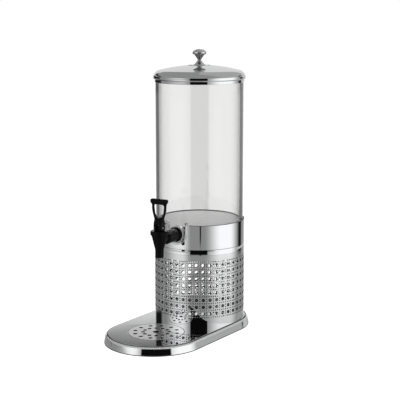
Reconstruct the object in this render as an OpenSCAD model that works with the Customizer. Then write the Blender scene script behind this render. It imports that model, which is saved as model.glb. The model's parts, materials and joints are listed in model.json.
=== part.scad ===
// Juice dispenser: a clear tank with a pull tap, standing in a steel collar on a
// perforated tower, with a long base that holds a drip cup under the spout.
// Front is -Y, up is +Z, and the origin is on the table under the middle of the base.

/* [Base] */
// Length of the base at the foot of its skirt
base_len = 347.4; // [320:0.2:380]
// Width of the base at the foot of its skirt
base_w = 192.4; // [184:0.2:220]
// Height of the top plate above the table
base_h = 17.5; // [16:0.5:24]
// How far the skirt spreads outwards on its way down
skirt_flare = 3.2; // [1:0.1:5]
// Width and height of the small step between skirt and top plate
edge_step = 1.2; // [0.6:0.1:2]
// Thickness of the base's sheet steel
base_sheet = 1.2; // [0.8:0.1:1.6]
// Gap between the skirt and the table
foot_gap = 1.5; // [0.5:0.1:3]
// How far the tower stands in front of the centre of the rear arc
tower_inset = 4.1; // [0:0.1:8]

/* [Feet] */
// Radius of a rubber foot
foot_r = 9; // [7:0.5:11]
// Sideways distance of the feet from the centre line
foot_x = 60; // [52:1:66]
// Lengthways distance of the feet from the middle
foot_y = 115; // [110:1:122]
// Radius of the weld stud that a foot is pushed on
stud_r = 2.5; // [2:0.1:3]
// Length of the weld stud
stud_len = 8; // [5:0.5:10]

/* [Drip cup] */
// Distance from the tower's axis to the middle of the drip cup
drip_reach = 147.3; // [140:0.1:156]
// Radius of the round opening in the top plate
drip_r = 53.4; // [48:0.1:58]
// Radius that rounds the edge of that opening
drip_edge_r = 1.2; // [0.6:0.1:1.8]
// Width of the ledge that carries the drip cup
ledge_w = 5; // [4:0.1:7]
// Thickness of the drip cup's sheet
cup_sheet = 1; // [0.6:0.1:1.2]
// Gap between the drip cup's floor and the table
cup_floor_z = 3.5; // [2:0.1:5]
// How far the cup's wall draws in on its way down
cup_draft = 4; // [1:0.5:8]
// Thickness of the drip grid
grid_t = 1.2; // [0.8:0.1:1.6]
// Radius of the finger hole in the grid's middle
grid_finger_r = 6.25; // [5:0.05:8]
// Radius of the grid's drain holes
grid_hole_r = 2.9; // [2:0.1:3.5]
// Radius of the inner ring of drain holes
grid_ring_in = 24.5; // [18:0.5:28]
// Radius of the outer ring of drain holes
grid_ring_out = 40.5; // [36:0.5:42]
// Drain holes in each ring
grid_ring_n = 12; // [8:1:14]
// Angle of the first hole in the outer ring
grid_phase = 21; // [0:1:30]

/* [Tower] */
// Outer radius of the perforated tower
tower_r = 88; // [87:0.1:89]
// Height of the tower tube
tower_h = 138.6; // [130:0.2:160]
// Thickness of the tower's sheet
tower_sheet = 1; // [0.6:0.1:1.5]
// Radius of the large perforations
hole_r = 3.5; // [2:0.1:4.5]
// Columns of large perforations round the tower
hole_cols = 42; // [24:2:48]
// Rows of large perforations
hole_rows = 8; // [3:1:8]
// Distance between rows
row_pitch = 13.6; // [11:0.1:14]
// Height of the lowest row above the top plate
first_row = 24.3; // [22:0.1:28]
// Inner radius of the foot ring inside the tower
foot_ring_in = 72; // [66:0.5:73]
// Distance of the foot ring's screws from its inner edge
foot_screw_edge = 4.8; // [4:0.1:6]
// Thickness of the foot ring's flange
foot_ring_t = 3; // [2:0.1:5]
// Height of the foot ring's upstand above its flange
foot_ring_h = 9; // [5:0.5:11]
// Shank radius of the frame's screws
screw_r = 2; // [1.5:0.1:2.3]
// Head radius of the frame's screws
screw_head_r = 3.8; // [3:0.1:4.5]
// Head height of the frame's screws
screw_head_h = 2.2; // [1.5:0.1:2.6]
// Screws in each ring
screw_n = 4; // [3:1:6]

/* [Shoulder and collar] */
// Height of the shoulder ring that shows above the tower
shoulder_h = 10.9; // [8:0.1:14]
// How far the shoulder leans in towards its top
shoulder_lean = 1.4; // [0.5:0.1:2]
// Wall of the shoulder ring
shoulder_wall = 2; // [1.5:0.1:3]
// Depth of the shoulder's spigot inside the tower
spigot_depth = 8; // [5:0.5:8]
// Inner radius of the flanges that carry the tank
flange_in = 66; // [62:0.5:68]
// Outer radius of the polished collar
collar_r = 88; // [87.6:0.1:89]
// Height of the polished collar
collar_h = 46.4; // [42:0.2:52]
// Thickness of the collar's sheet
collar_sheet = 1; // [0.6:0.1:1.2]
// Radius of the U-shaped notch that lets the tap through
notch_r = 18.9; // [18.3:0.1:19.5]
// Width of the trim inside the notch's edge
trim_w = 1.9; // [1.2:0.1:2]
// How far the trim's lip covers the collar round the notch
trim_lip = 1.9; // [1:0.1:3]
// Thickness of the trim's lip
trim_t = 1.7; // [1:0.1:2]
// Radius of the round bead that ends each leg of the trim
trim_bead_r = 3.8; // [3:0.1:4.5]
// Height of the tank's foot above the collar's floor
seat_t = 3; // [2.6:0.1:5]
// Width of the rubber seat
seat_w = 9; // [6:0.5:9.5]

/* [Tank] */
// Outer radius of the clear tank
tank_r = 85; // [84.5:0.1:85.3]
// Wall of the clear tank
tank_wall = 6; // [5:0.1:7]
// Height of the clear tank
tank_h = 316.8; // [240:0.2:360]
// Thickness of the tank's floor
tank_floor_t = 6; // [4:0.5:8]
// Turn of the tank and its tap from the base's centre line
tap_turn = 4; // [-10:0.5:10]
// Height of the tap's axis above the tank's foot
tap_up = 25.3; // [24:0.1:27]
// Radius of the clear boss that the tap is clamped to
boss_r = 16.4; // [15.6:0.1:16.6]
// Distance from the tank's axis to the boss's outer face
boss_face = 88; // [87.6:0.1:92]
// Distance from the tank's axis to the boss's inner face
boss_back = 76.5; // [75:0.1:77]

/* [Lid] */
// Thickness of the lid's sheet
lid_sheet = 1; // [0.6:0.1:1.4]
// How far the lid's skirt reaches down over the tank
lid_skirt = 8.3; // [5:0.1:16]
// Radius of the lid's rounded shoulder
lid_round = 16; // [14:0.5:18]
// How far the rounded rim stands out past the skirt
lid_rim = 3.2; // [2:0.1:4]
// Radius of the shallow dome
lid_dome_r = 308; // [250:1:400]
// Height of the rim's rounded nose
lid_nose = 2.4; // [2:0.1:3]
// Radius of the flat in the middle of the lid
lid_flat_r = 22; // [16:0.5:30]
// Width of the seal between lid and tank
lid_seal_w = 7.5; // [5:0.1:9]
// Radius of the knob's foot
knob_foot_r = 11; // [10:0.1:14]
// Radius of the knob's waist
knob_waist_r = 3.8; // [3.6:0.1:5]
// Radius of the knob's cap
knob_cap_r = 13.5; // [12:0.1:15]
// Height of the knob
knob_h = 31; // [28:0.1:36]
// Height of the knob's waist as a share of the knob's height
knob_waist_share = 0.33; // [0.28:0.01:0.4]
// Height of the cap's widest part as a share of the knob's height
knob_cap_share = 0.76; // [0.7:0.01:0.8]
// Depth of the thread in the knob's foot
knob_tap_depth = 12; // [8:0.5:14]
// Thickness of the washer under the knob's screw
knob_washer_t = 1; // [0.6:0.1:2]

/* [Tap] */
// Distance from the tank's axis to the spout's axis
spout_reach = 149.5; // [146:0.1:160]
// Length of the spout and body below the tap's axis
spout_drop = 33.5; // [31:0.1:40]
// Height of the body's top above the tap's axis
body_up = 9.5; // [9.2:0.1:12]
// Outer radius of the spout's tip
spout_r = 7.8; // [7:0.1:8.5]
// Length of the straight spout under the body's taper
spout_straight = 15; // [12:0.5:18]
// Outer radius of the body under the bonnet
body_r = 15.2; // [14.4:0.1:16]
// Radius of the outlet bore
outlet_r = 5.4; // [4.5:0.1:5.8]
// Radius of the valve chamber
chamber_r = 9.8; // [9.4:0.1:10.2]
// Depth of the valve seat's upper edge below the tap's axis
seat_depth = 3.5; // [3:0.1:4]
// Height of the seal above the valve seat's upper edge
seal_h = 4; // [3:0.1:5]
// Height of the seal's foot above the valve seat's lower edge
seal_up = 0.7; // [0.5:0.1:1]
// Thickness of the seal under the stem
seal_floor = 2; // [1.5:0.1:3]
// Radius of the inlet bore
inlet_r = 4.5; // [3.5:0.1:4.8]
// Radius of the flange against the tank
flange_r = 14.2; // [13:0.1:14.8]
// Thickness of that flange
tap_flange_t = 5; // [4:0.1:6]
// Radius of the barrel between flange and body
barrel_r = 12.3; // [11:0.1:12.6]
// Length of the cone between barrel and neck
barrel_cone = 4; // [3:0.1:5]
// Radius of the neck between barrel and body
neck_r = 8.8; // [8.4:0.1:9.2]
// Radius of the threaded shank
shank_r = 9; // [8:0.1:9.4]
// Length of the shank past its nut
shank_spare = 4; // [2:0.5:6]
// Thickness of the washer outside the tank
outer_washer_t = 1.5; // [1:0.1:2.5]
// Thickness of the washer inside the tank
inner_washer_t = 2; // [1:0.1:3]
// Thickness of the shank nut
nut_t = 8; // [6:0.5:10]
// Width of the shank nut across its corners
nut_d = 26; // [24:0.5:28]
// Radius of the bonnet
bonnet_r = 16.9; // [16.2:0.1:18]
// Height of the bonnet
bonnet_h = 8; // [7.4:0.1:10]
// Thickness of the bonnet's roof over the spring
bonnet_roof = 2.5; // [2:0.1:3]
// Depth of the bonnet's spigot inside the body
bonnet_spigot = 3; // [2:0.1:3.5]
// Radius of the valve stem
stem_r = 3.2; // [2.8:0.1:3.4]
// Mean radius of the valve spring
spring_r = 6; // [5:0.1:6.4]
// Wire radius of the valve spring
spring_wire_r = 0.6; // [0.5:0.05:0.7]
// Room round the spring's mean radius
spring_room = 2.2; // [1.6:0.1:2.6]
// Turns of the valve spring
spring_turns = 5; // [3:1:6]

/* [Handle] */
// Height of the handle
handle_h = 59.3; // [54:0.1:66]
// Width of the bar along the handle's top
bar_w = 35; // [32:0.5:40]
// Height of that bar
bar_h = 9.6; // [8:0.1:12]
// Depth of that bar from front to back
bar_d = 8; // [7:0.1:10]
// Width of the handle just under the bar
neck_w = 29.2; // [27:0.1:31]
// Width of the handle's foot
foot_w = 16.6; // [15:0.1:19]
// Depth of the handle's foot from front to back
foot_d = 15; // [13:0.1:17]
// Thickness of the handle beside its loop
handle_t = 5; // [4.4:0.1:7]
// Width of the loop at its top
loop_w = 22.8; // [18:0.1:23.4]
// Height of the loop
loop_h = 24.6; // [16:0.1:26]
// Radius of the loop's round foot as a share of the loop's width
loop_foot_share = 0.44; // [0.3:0.01:0.48]
// Height of the sill under the loop
loop_sill = 2; // [1.5:0.1:4]
// Overhang of the bar above the loop
bar_lip = 0.6; // [0.4:0.1:1.2]
// Radius of the handle's pin
pin_r = 1.5; // [1.2:0.05:1.7]
// Height of the pin above the handle's foot
pin_up = 5.3; // [5:0.1:6.5]
// Width of the slot that takes the stem's head
slot_w = 7; // [7:0.1:7.6]
// Height of that slot above the pin
slot_up = 6.2; // [6:0.1:7]

/* [Fits] */
// Radial clearance of pieces that are fixed together
fit_gap = 0.05; // [0.02:0.01:0.08]
// Clearance of pieces that lift out by hand
lift_gap = 0.5; // [0.3:0.05:0.6]
// Clearance of screws in plain holes
screw_gap = 0.2; // [0.1:0.05:0.3]
// Clearance between the valve's seal and its seat
seal_gap = 0.2; // [0.1:0.05:0.3]
// Gap between the tank's foot and its rubber seat
rest_gap = 0.02; // [0.01:0.01:0.05]

/* [Hidden] */
$fn = 96;
eps = 0.01;
over = 1;

// Plan of the base
base_r = base_w / 2;
arc_y = base_len / 2 - base_r;
tower_y = arc_y - tower_inset;
drip_y = tower_y - drip_reach;
plate_r = base_r - skirt_flare - edge_step;
plate_under = base_h - base_sheet;

// Heights of the drip cup's seat
ledge_z = base_h - grid_t - cup_sheet;
grid_z = base_h - grid_t;
ledge_in = drip_r - ledge_w;
cup_wall_r = ledge_in - lift_gap;

// Heights up the tower
tower_top = base_h + tower_h;
shoulder_top = tower_top + shoulder_h;
shoulder_r = collar_r - shoulder_lean;
flange_t = 2;
deck_top = shoulder_top + collar_sheet;
collar_top = shoulder_top + collar_h;
inner_tower_r = tower_r - tower_sheet - fit_gap;
foot_screw_ring = foot_ring_in + foot_screw_edge;
collar_screw_ring = (flange_in + collar_r - collar_sheet - seat_w - lift_gap) / 2;

// Heights of the tank and the lid
tank_foot = deck_top + seat_t;
tank_top = tank_foot + tank_h;
tank_in = tank_r - tank_wall;
tap_z = tank_foot + tap_up;
lid_in = tank_r + lift_gap;
lid_out = lid_in + lid_sheet;
rim_r = lid_out + lid_rim;
round_r0 = rim_r - lid_round;
round_from = 14;
round_to = 80;
round_drop = 1;
round_z0 = tank_top - round_drop;
dome_inset = 1.2;
dome_start = round_r0 + dome_inset;
dome_edge_z = round_z0 + lid_round;
lid_top = dome_edge_z + dome_drop(dome_start) - dome_drop(lid_flat_r);
knob_hole_r = screw_r + screw_gap;
washer_low = lid_top - lid_sheet - knob_washer_t;

// Heights up the tap
body_top = tap_z + body_up;
bonnet_top = body_top + bonnet_h;
spout_tip = tap_z - spout_drop;
spout_swell = 0.3;
taper_z = spout_tip + spout_straight;
taper_r = spout_r + spout_swell;
seat_top = tap_z - seat_depth;
seat_drop = chamber_r - outlet_r;
seat_low = seat_top - seat_drop;
cup_low = seat_low + seal_up;
cup_top = seat_top + seal_h;
pocket_r = spring_r + spring_room;
pocket_z = bonnet_top - bonnet_roof;
flange_front = boss_face + outer_washer_t;
flange_end = flange_front + tap_flange_t;
barrel_end = spout_reach - bonnet_r - barrel_cone;
shank_end = boss_back - inner_washer_t - nut_t - shank_spare;
handle_z = bonnet_top + seal_gap;
pin_z = handle_z + pin_up;
stem_low = cup_low + seal_floor;
stem_tip = 0.3;
stem_top = pin_z + stem_r + stem_tip;
bar_z = handle_h - bar_h;
loop_top = bar_z - bar_lip;
waist_z = loop_top - loop_h - loop_sill;
slot_top = pin_up + slot_up;

function dome_drop(r) = lid_dome_r - sqrt(lid_dome_r * lid_dome_r - r * r);
function dome_z(r) = lid_top + dome_drop(lid_flat_r) - dome_drop(r);
function arc(cx, cy, r, a0, a1, n) =
    [for (i = [0 : n]) [cx + r * cos(a0 + (a1 - a0) * i / n), cy + r * sin(a0 + (a1 - a0) * i / n)]];
function reversed(points) = [for (i = [len(points) - 1 : -1 : 0]) points[i]];
function mirrored(points) = [for (p = reversed(points)) [-p[0], p[1]]];

// Places that several pieces share
module at_tower() { translate([0, tower_y, 0]) children(); }
module at_drip() { translate([0, drip_y, 0]) children(); }
module at_tank() { at_tower() rotate([0, 0, tap_turn]) children(); }
module at_spout() { at_tank() translate([0, -spout_reach, 0]) children(); }

// A solid of revolution from points of radius and height
module turned(points) { rotate_extrude() polygon(points); }

// A cylindrical shell of two radii between two heights
module shell(r0, r1, z0, z1) {
    translate([0, 0, z0]) difference() {
        cylinder(r = r1, h = z1 - z0);
        translate([0, 0, -over]) cylinder(r = r0, h = z1 - z0 + 2 * over);
    }
}

// A round bar along the tap's axis, from one distance of the tank's axis to another
module tap_bar(r, from, to, r_end = undef) {
    r2 = is_undef(r_end) ? r : r_end;
    translate([0, -from, tap_z]) rotate([90, 0, 0]) cylinder(r1 = r, r2 = r2, h = to - from);
}

// Copies round a ring
module ring_of(n, r, phase = 0) {
    for (i = [0 : n - 1]) rotate([0, 0, phase + 360 * i / n]) translate([r, 0, 0]) children();
}

// A block with round ends whose sides lean, from radius r0 at z0 to r1 at z1
module stadium(r0, r1, z0, z1) {
    for (s = [-1, 1]) translate([0, s * arc_y, z0]) cylinder(r1 = r0, r2 = r1, h = z1 - z0);
    rotate([90, 0, 0]) linear_extrude(height = 2 * arc_y, center = true)
        polygon([[-r0, z0], [r0, z0], [r1, z1], [-r1, z1]]);
}

// A screw with its head below, standing up from z = 0
module screw_up(length) {
    translate([0, 0, -screw_head_h]) cylinder(r = screw_head_r, h = screw_head_h);
    translate([0, 0, -eps]) cylinder(r = screw_r - fit_gap, h = length + eps);
}

module base_tray() {
    skirt_top = base_h - edge_step;
    inner_top = skirt_top - base_sheet;
    color("silver") difference() {
        union() {
            difference() {
                union() {
                    stadium(base_r, base_r - skirt_flare, foot_gap, skirt_top);
                    stadium(plate_r, plate_r - edge_step / 2, skirt_top - eps, base_h);
                }
                stadium(base_r - base_sheet, base_r - skirt_flare - base_sheet, foot_gap - eps, inner_top);
                stadium(plate_r - base_sheet, plate_r - base_sheet, inner_top - eps, plate_under);
            }
            at_drip() translate([0, 0, ledge_z - base_sheet])
                cylinder(r = drip_r + drip_edge_r + base_sheet, h = base_h - ledge_z);
            for (x = [-foot_x, foot_x], y = [-foot_y, foot_y])
                translate([x, y, plate_under - stud_len]) cylinder(r = stud_r, h = stud_len + eps);
        }
        at_drip() turned(concat(
            [[0, ledge_z - base_sheet - over], [ledge_in, ledge_z - base_sheet - over],
             [ledge_in, ledge_z], [drip_r, ledge_z]],
            arc(drip_r + drip_edge_r, base_h - drip_edge_r, drip_edge_r, 180, 90, 6),
            [[drip_r + drip_edge_r, base_h + over], [0, base_h + over]]));
        at_tower() ring_of(screw_n, foot_screw_ring) translate([0, 0, plate_under - over])
            cylinder(r = screw_r + screw_gap, h = base_sheet + 2 * over);
    }
}

module rubber_feet() {
    toe = 1;
    color("#2b2b2b") for (x = [-foot_x, foot_x], y = [-foot_y, foot_y])
        translate([x, y, 0]) difference() {
            union() {
                cylinder(r1 = foot_r - toe, r2 = foot_r, h = toe);
                translate([0, 0, toe - eps]) cylinder(r = foot_r, h = plate_under - toe + eps);
            }
            translate([0, 0, plate_under - stud_len - over])
                cylinder(r = stud_r + fit_gap, h = stud_len + 2 * over);
        }
}

module drip_cup() {
    foot = cup_wall_r - cup_draft;
    bend = 2;
    color("#242424") at_drip() turned(concat(
        [[0, cup_floor_z]],
        arc(foot - bend, cup_floor_z + bend, bend, -90, 0, 5),
        [[cup_wall_r, ledge_z], [drip_r - lift_gap, ledge_z], [drip_r - lift_gap, grid_z],
         [cup_wall_r - cup_sheet, grid_z]],
        arc(foot - bend, cup_floor_z + bend, bend - cup_sheet, 0, -90, 5),
        [[0, cup_floor_z + cup_sheet]]));
}

module drip_grid() {
    color("gainsboro") at_drip() difference() {
        translate([0, 0, grid_z]) cylinder(r = drip_r - lift_gap, h = grid_t);
        translate([0, 0, grid_z - over]) {
            cylinder(r = grid_finger_r, h = grid_t + 2 * over);
            ring_of(grid_ring_n, grid_ring_out, grid_phase)
                cylinder(r = grid_hole_r, h = grid_t + 2 * over);
            ring_of(grid_ring_n, grid_ring_in, grid_phase + 180 / grid_ring_n)
                cylinder(r = grid_hole_r, h = grid_t + 2 * over);
        }
    }
}

module tower_tube() {
    pitch = 360 / hole_cols;
    color("silver") at_tower() difference() {
        translate([0, 0, base_h]) difference() {
            cylinder(r = tower_r, h = tower_h);
            translate([0, 0, -over]) cylinder(r = tower_r - tower_sheet, h = tower_h + 2 * over);
        }
        for (row = [0 : hole_rows - 1], col = [0 : hole_cols - 1])
            rotate([0, 0, (col + 0.5) * pitch])
                translate([0, -tower_r + 2 * tower_sheet, base_h + first_row + row * row_pitch])
                    rotate([90, 0, 0]) cylinder(r = hole_r, h = 3 * tower_sheet);
    }
}

module tower_foot_ring() {
    wall = 2;
    flange_z = base_h + foot_ring_t;
    top = flange_z + foot_ring_h;
    color("darkgray") at_tower() difference() {
        turned([[foot_ring_in, base_h], [inner_tower_r, base_h], [inner_tower_r, top],
                [inner_tower_r - wall, top], [inner_tower_r - wall, flange_z], [foot_ring_in, flange_z]]);
        ring_of(screw_n, foot_screw_ring)
            translate([0, 0, base_h - over]) cylinder(r = screw_r, h = foot_ring_t + 2 * over);
    }
}

module tower_screws() {
    color("gray") at_tower() ring_of(screw_n, foot_screw_ring)
        translate([0, 0, plate_under]) screw_up(base_sheet + foot_ring_t);
}

module shoulder_ring() {
    steps = 8;
    spigot_in = inner_tower_r - shoulder_wall;
    spigot_low = tower_top - spigot_depth;
    color("silver") at_tower() difference() {
        turned(concat(
            [[spigot_in, spigot_low], [inner_tower_r, spigot_low], [inner_tower_r, tower_top],
             [tower_r, tower_top]],
            [for (i = [1 : steps]) let (a = 90 * i / steps)
                [tower_r - (tower_r - shoulder_r) * (1 - cos(a)), tower_top + shoulder_h * sin(a)]],
            [[flange_in, shoulder_top], [flange_in, shoulder_top - flange_t],
             [spigot_in, shoulder_top - flange_t]]));
        ring_of(screw_n, collar_screw_ring, 180 / screw_n)
            translate([0, 0, shoulder_top - flange_t - over])
                cylinder(r = screw_r, h = flange_t + 2 * over);
    }
}

// The notch's outline through the collar: a round foot with straight legs up to the top
module notch_bar(r, from, to, top) {
    tap_bar(r, from, to);
    translate([-r, -to, tap_z]) cube([2 * r, to - from, top - tap_z]);
}

module collar_band() {
    color("silver") at_tank() difference() {
        shell(collar_r - collar_sheet, collar_r, shoulder_top, collar_top);
        notch_bar(notch_r, collar_r / 2, collar_r + over, collar_top + over);
    }
}

module collar_floor() {
    color("silver") at_tower() difference() {
        shell(flange_in, collar_r - collar_sheet - fit_gap, shoulder_top, deck_top);
        ring_of(screw_n, collar_screw_ring, 180 / screw_n)
            translate([0, 0, shoulder_top - over])
                cylinder(r = screw_r + screw_gap, h = collar_sheet + 2 * over);
    }
}

module collar_screws() {
    color("gray") at_tower() ring_of(screw_n, collar_screw_ring, 180 / screw_n)
        translate([0, 0, deck_top]) mirror([0, 0, 1]) screw_up(collar_sheet + flange_t);
}

module notch_trim() {
    inner = notch_r - trim_w;
    outer = notch_r + trim_lip;
    leg = 2.4;
    face = collar_r + fit_gap;
    low = tap_z - outer - over;
    bead_x = inner + trim_bead_r;
    color("whitesmoke") at_tank() difference() {
        union() {
            intersection() {
                notch_bar(outer, collar_r / 2, collar_r + 2 * trim_t, collar_top);
                shell(face, face + trim_t, low, collar_top + over);
            }
            intersection() {
                notch_bar(notch_r - fit_gap, collar_r / 2, collar_r + 2 * trim_t, collar_top);
                shell(collar_r - collar_sheet, face + eps, low, collar_top + over);
            }
            for (s = [-1, 1]) intersection() {
                translate([s * bead_x, -collar_r / 2, collar_top + fit_gap + trim_bead_r])
                    rotate([90, 0, 0]) cylinder(r = trim_bead_r, h = collar_r);
                shell(collar_r - collar_sheet, face + trim_t, collar_top, collar_top + 3 * trim_bead_r);
            }
            for (s = [-1, 1]) intersection() {
                translate([s * (inner + leg / 2) - leg / 2, -collar_r - 2 * trim_t, collar_top - eps])
                    cube([leg, collar_r / 2, trim_bead_r]);
                shell(face, face + trim_t, collar_top - over, collar_top + 2 * trim_bead_r);
            }
        }
        notch_bar(inner, collar_r / 2, collar_r + 2 * over + 2 * trim_t, collar_top + 4 * trim_bead_r);
    }
}

module tank_seat() {
    outer = collar_r - collar_sheet - lift_gap;
    color("#3a3a3a") at_tower() shell(outer - seat_w, outer, deck_top, tank_foot - rest_gap);
}

module tank_tube() {
    pad_step = 2;
    color([0.85, 0.92, 0.92, 0.35]) at_tank() difference() {
        union() {
            shell(tank_in, tank_r, tank_foot, tank_top);
            difference() {
                tap_bar(boss_r, tank_in + tank_wall / 2, boss_face);
                translate([0, 0, tank_foot]) cylinder(r = tank_in + tank_wall / 4, h = tank_h);
            }
            tap_bar(boss_r - pad_step, boss_back, tank_in + tank_wall / 2);
        }
        tap_bar(shank_r + lift_gap / 2, boss_back - over, boss_face + over);
    }
}

module tank_floor() {
    color([0.85, 0.92, 0.92, 0.35]) at_tank() translate([0, 0, tank_foot])
        cylinder(r = tank_in - fit_gap, h = tank_floor_t);
}

module outer_washer() {
    rim = 1;
    color("whitesmoke") at_tank() difference() {
        tap_bar(flange_r + rim, boss_face, flange_front);
        tap_bar(shank_r + fit_gap, boss_face - over, flange_front + over);
    }
}

module inner_washer() {
    color("whitesmoke") at_tank() difference() {
        tap_bar(nut_d / 2, boss_back - inner_washer_t, boss_back);
        tap_bar(shank_r + fit_gap, boss_back - inner_washer_t - over, boss_back + over);
    }
}

module shank_nut() {
    nut_face = boss_back - inner_washer_t;
    color("#222222") at_tank() difference() {
        translate([0, -nut_face, tap_z]) rotate([-90, 0, 0]) cylinder(d = nut_d, h = nut_t, $fn = 6);
        tap_bar(shank_r + fit_gap, nut_face - nut_t - over, nut_face + over);
    }
}

module tap_body() {
    bevel = 0.6;
    lip = 0.4;
    color("#1c1c1c") at_tank() difference() {
        union() {
            translate([0, -spout_reach, 0]) turned([
                [0, spout_tip], [spout_r - bevel, spout_tip], [spout_r, spout_tip + bevel],
                [taper_r, taper_z], [body_r - lip, body_top - bevel - lip], [body_r, body_top - bevel],
                [body_r, body_top], [0, body_top]]);
            tap_bar(shank_r, shank_end, flange_front + eps);
            tap_bar(flange_r, flange_front, flange_end);
            tap_bar(barrel_r, flange_end - eps, barrel_end);
            tap_bar(barrel_r, barrel_end - eps, barrel_end + barrel_cone, neck_r);
            tap_bar(neck_r, barrel_end + barrel_cone - eps, spout_reach);
        }
        translate([0, -spout_reach, 0]) turned([
            [0, spout_tip - over], [outlet_r, spout_tip - over], [outlet_r, seat_low],
            [chamber_r, seat_top], [chamber_r, body_top + over], [0, body_top + over]]);
        tap_bar(inlet_r, shank_end - over, spout_reach - chamber_r / 2);
    }
}

module tap_bonnet() {
    bevel = 1.2;
    spigot_r = chamber_r - fit_gap;
    color("#202020") at_spout() turned([
        [pocket_r, body_top - bonnet_spigot], [spigot_r, body_top - bonnet_spigot], [spigot_r, body_top],
        [bonnet_r - bevel / 2, body_top], [bonnet_r, body_top + bevel / 2], [bonnet_r, bonnet_top - bevel],
        [bonnet_r - bevel, bonnet_top], [stem_r + fit_gap, bonnet_top], [stem_r + fit_gap, pocket_z],
        [pocket_r, pocket_z]]);
}

module tap_stem() {
    color("#2a2a2a") at_spout() difference() {
        translate([0, 0, stem_low]) cylinder(r = stem_r, h = stem_top - stem_low);
        translate([0, 0, pin_z]) rotate([0, 90, 0])
            cylinder(r = pin_r + fit_gap / 2, h = 4 * stem_r, center = true);
    }
}

module seat_cup() {
    low_r = outlet_r + (cup_low - seat_low) - seal_gap * sqrt(2);
    top_r = chamber_r - 2 * seal_gap;
    bore = stem_r + fit_gap / 2;
    color("#d8d4cc") at_spout() turned([
        [0, cup_low], [low_r, cup_low], [top_r, cup_low + top_r - low_r], [top_r, cup_top],
        [bore, cup_top], [bore, stem_low], [0, stem_low]]);
}

// The spring is one wire swept up a helix that starts flat on the seal
spring_low = cup_top + spring_wire_r + seal_gap;
spring_high = pocket_z - spring_wire_r - seal_gap;
spring_steps = 8;
spring_sides = 6;
spring_n = spring_turns * spring_steps;
function spring_at(i) = [spring_r * cos(360 * i / spring_steps), spring_r * sin(360 * i / spring_steps),
                         spring_low + (spring_high - spring_low) * i / spring_n];
function spring_ring(i) = let (a = 360 * i / spring_steps, c = spring_at(i))
    [for (k = [0 : spring_sides - 1]) let (b = 360 * k / spring_sides)
        c + spring_wire_r * [cos(b) * cos(a), cos(b) * sin(a), sin(b)]];
spring_gap = min([for (i = [0 : spring_n], j = [0 : spring_n]) if (j - i >= spring_steps - 1)
                  norm(spring_at(i) - spring_at(j)) - 2 * spring_wire_r]);
echo(least_gap_between_spring_turns = spring_gap);

module stem_spring() {
    rings = [for (i = [0 : spring_n]) each spring_ring(i)];
    m = spring_sides;
    last = spring_n * m;
    sides = [for (i = [0 : spring_n - 1], k = [0 : m - 1])
        let (a = i * m + k, b = i * m + (k + 1) % m) each [[a, b, b + m], [a, b + m, a + m]]];
    ends = [for (k = [1 : m - 2]) each [[0, k + 1, k], [last, last + k, last + k + 1]]];
    color("gray") at_spout() polyhedron(points = rings, faces = concat(sides, ends), convexity = 8);
}

module handle_pin() {
    sunk = 0.5;
    color("silver") at_spout() translate([0, 0, pin_z]) rotate([0, 90, 0])
        cylinder(r = pin_r, h = foot_w - 2 * sunk, center = true);
}

// Front outline of the handle, from its foot at 0 up to the rounded ends of the bar
function handle_side() = let (r = 3, low = 2.6, tuck = 0.6, steps = 8, spread = (neck_w - foot_w) / 2) concat(
    [[foot_w / 2, 0], [foot_w / 2, waist_z]],
    [for (i = [1 : steps]) let (t = i / steps)
        [foot_w / 2 + spread * (1 - pow(1 - t, 3)), waist_z + (bar_z - waist_z) * t]],
    [[bar_w / 2 - tuck, bar_z + low]],
    arc(bar_w / 2 - r, handle_h - r, r, 0, 90, 5));
function loop_side() = let (r = 4, tip = loop_foot_share * loop_w, lean = 6) concat(
    arc(0, loop_top - loop_h + tip, tip, -90, -lean, 8),
    arc(loop_w / 2 - r, loop_top - r, r, -lean, 90, 6));

// Side outline of the handle: a deep foot that narrows to the flat loop and thickens at the bar
function handle_depth() = let (toe = 2.2, shin = waist_z - 9, knee = waist_z + 6, r = 2) concat(
    arc(foot_d / 2 - toe, toe, toe, -90, 0, 4),
    [[foot_d / 2, shin], [handle_t / 2, knee], [handle_t / 2, bar_z - r], [bar_d / 2, bar_z + r]],
    arc(bar_d / 2 - r, handle_h - r, r, 0, 90, 4));

module tap_handle() {
    color("#181818") at_spout() translate([0, 0, handle_z]) difference() {
        intersection() {
            rotate([90, 0, 0]) linear_extrude(height = 2 * foot_d, center = true) difference() {
                polygon(concat(handle_side(), mirrored(handle_side())));
                polygon(concat(loop_side(), mirrored(loop_side())));
            }
            rotate([90, 0, 90]) linear_extrude(height = 2 * bar_w, center = true)
                polygon(concat(handle_depth(), mirrored(handle_depth())));
        }
        translate([-slot_w / 2, -foot_d, -over]) cube([slot_w, 2 * foot_d, slot_top + over]);
        translate([0, 0, pin_up]) rotate([0, 90, 0])
            cylinder(r = pin_r + fit_gap, h = 2 * foot_w, center = true);
    }
}

// Outline of the lid's sheet at a depth under its outer surface, from the rim to the middle
function lid_curve(depth) = let (steps = 6, inward = lid_flat_r - dome_start) concat(
    arc(round_r0, round_z0, lid_round - depth, round_from, round_to, 10),
    [for (i = [1 : steps]) let (r = dome_start + inward * i / steps) [r, dome_z(r) - depth]],
    [[0, lid_top - depth]]);

module lid_shell() {
    nose_low = round_z0 + lid_round * sin(round_from) - lid_nose;
    tuck = 1.6;
    curl = 0.5;
    curl_up = 0.8;
    fold = 2;
    skirt_low = tank_top - lid_skirt;
    color("silver") at_tower() difference() {
        turned(concat(
            [[lid_in, skirt_low], [lid_out, skirt_low], [lid_out, nose_low], [rim_r - tuck, nose_low],
             [rim_r - curl, nose_low + curl_up]],
            lid_curve(0), reversed(lid_curve(lid_sheet)), [[lid_in, tank_top - fold]]));
        translate([0, 0, lid_top - lid_sheet - over])
            cylinder(r = knob_hole_r, h = lid_sheet + 2 * over);
    }
}

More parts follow.
